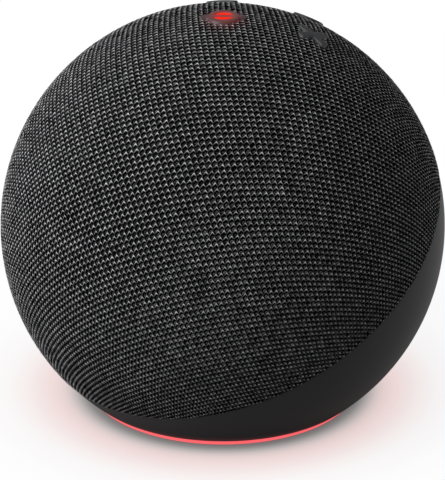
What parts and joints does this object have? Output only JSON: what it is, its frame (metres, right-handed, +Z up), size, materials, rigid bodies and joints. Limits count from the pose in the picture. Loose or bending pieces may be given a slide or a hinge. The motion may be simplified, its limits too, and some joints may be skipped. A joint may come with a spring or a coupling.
{
  "type": "smart speaker",
  "caption": "Ball-shaped tabletop smart speaker with a knit front, a plain rear shell, a light ring at its foot and raised push buttons on top.",
  "frame": {"origin": "middle of the underside of the rubber foot, on the table", "axes": "+Z up, front of the speaker (the driver's axis) along -Y, +X to the right seen from the front"},
  "size_m": [0.1, 0.0999, 0.0904],
  "materials": {
    "knit": "knitted polyester net",
    "grille": "moulded, matt",
    "shell": "fine spark-eroded texture",
    "sign": "soft-touch, satin",
    "light": "diffusing, lit from inside",
    "rubber": "matt",
    "plastic": "moulded",
    "white_plastic": "moulded",
    "board": "solder-masked glass laminate",
    "steel": "zinc plated",
    "zinc": "pressed sheet",
    "ferrite": "sintered",
    "copper": "enamelled winding",
    "paper": "pressed pulp, coated",
    "cloth": "resin-stiffened cloth",
    "ribbon": "polyimide film",
    "wire": "insulated twin lead"
  },
  "bodies": {
    "housing": {"knit_cover": "knit", "grille_shell": "grille", "rear_shell": "shell", "inlet_cup": "shell", "light_ring": "light", "base_plate": "plastic", "rubber_foot": "rubber", "driver_gasket": "rubber", "driver_basket": "steel", "magnet_top_plate": "steel", "driver_magnet": "ferrite", "magnet_yoke": "steel", "cone_surround": "rubber", "spider": "cloth", "speaker_box": "plastic", "main_board": "board", "shield_can": "zinc", "heat_spreader": "zinc", "power_jack": "plastic", "led_board": "board", "led_header": "plastic", "button_board": "board", "mute_led": "white_plastic", "microphone_right": "zinc", "microphone_left": "zinc", "button_ribbon": "ribbon", "speaker_lead": "wire", "mute_switch": "plastic", "volume_up_switch": "plastic", "volume_down_switch": "plastic", "action_switch": "plastic", "base_screw_1": "steel", "base_screw_2": "steel", "base_screw_3": "steel", "base_screw_4": "steel", "driver_screw_1": "steel", "driver_screw_2": "steel", "driver_screw_3": "steel", "driver_screw_4": "steel", "button_board_screw_1": "steel", "button_board_screw_2": "steel", "button_board_screw_3": "steel", "button_board_screw_4": "steel", "main_board_screw_1": "steel", "main_board_screw_2": "steel", "main_board_screw_3": "steel"},
    "mute": {"mute_button": "sign", "mute_light_guide": "light", "mute_plunger": "white_plastic"},
    "volume_up": {"volume_up_button": "sign", "volume_up_plunger": "white_plastic"},
    "volume_down": {"volume_down_button": "sign", "volume_down_plunger": "white_plastic"},
    "action": {"action_button": "sign", "action_plunger": "white_plastic"},
    "cone": {"speaker_cone": "paper", "dust_cap": "paper", "voice_coil": "copper"}
  },
  "joints": [
    {"name": "mute_press", "type": "slide", "parent": "housing", "child": "mute", "axis": [0, -0.2773, -0.9608], "range_m": [0, 0.00035], "stiffness_N_per_m": 1500, "springref_m": -0.0003},
    {"name": "volume_up_press", "type": "slide", "parent": "housing", "child": "volume_up", "axis": [0, -0.2773, -0.9608], "range_m": [0, 0.00035], "stiffness_N_per_m": 1500, "springref_m": -0.0003},
    {"name": "volume_down_press", "type": "slide", "parent": "housing", "child": "volume_down", "axis": [0, -0.2773, -0.9608], "range_m": [0, 0.00035], "stiffness_N_per_m": 1500, "springref_m": -0.0003},
    {"name": "action_press", "type": "slide", "parent": "housing", "child": "action", "axis": [0, -0.2773, -0.9608], "range_m": [0, 0.00035], "stiffness_N_per_m": 1500, "springref_m": -0.0003},
    {"name": "cone_stroke", "type": "slide", "parent": "housing", "child": "cone", "axis": [0, -1, 0], "range_m": [-0.0015, 0.0015], "stiffness_N_per_m": 1200, "deforming": ["cone_surround", "spider"]}
  ]
}
